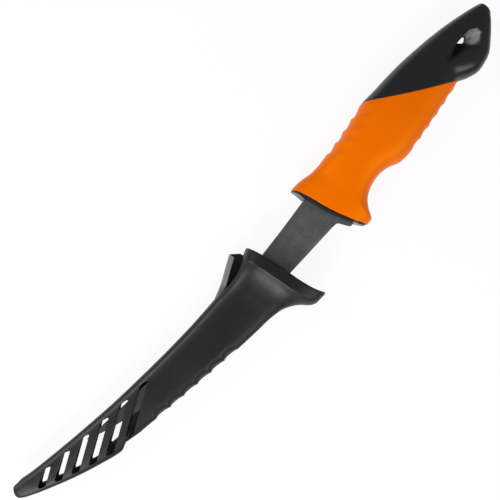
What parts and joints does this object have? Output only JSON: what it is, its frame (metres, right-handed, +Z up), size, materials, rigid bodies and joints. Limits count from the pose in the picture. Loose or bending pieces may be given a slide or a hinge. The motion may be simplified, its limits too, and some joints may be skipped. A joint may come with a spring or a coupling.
{
  "type": "fillet knife",
  "caption": "Fillet knife with a narrow upswept coated blade and a soft orange grip, half drawn from its slotted black belt sheath.",
  "frame": {"origin": "middle of the flat back of the sheath's collar, on the surface that the knife lies on", "axes": "+X from the sheath's tip to the butt of the handle, +Y from the cutting edge to the spine, +Z up, away from the belt loop side"},
  "size_m": [0.3799, 0.0608, 0.025],
  "materials": {
    "blade_steel": "matt grey coating",
    "handle_black": "satin moulded",
    "orange_rubber": "satin moulded",
    "sheath_black": "satin moulded",
    "steel_hardware": "plain"
  },
  "bodies": {
    "sheath": {"sheath_front_shell": "sheath_black", "sheath_back_shell": "sheath_black", "belt_loop": "sheath_black", "loop_screws": "steel_hardware"},
    "knife": {"blade": "blade_steel", "guard_plate": "handle_black", "handle_core_front": "handle_black", "handle_core_back": "handle_black", "tang_pins": "steel_hardware", "grip_sleeve": "orange_rubber"}
  },
  "joints": [
    {"name": "knife_draw", "type": "hinge", "parent": "sheath", "child": "knife", "pos_m": [-0.0275, 0.8084, 0.0122], "axis": [0, 0, 1], "range_deg": [-2.8, 10.7]}
  ]
}
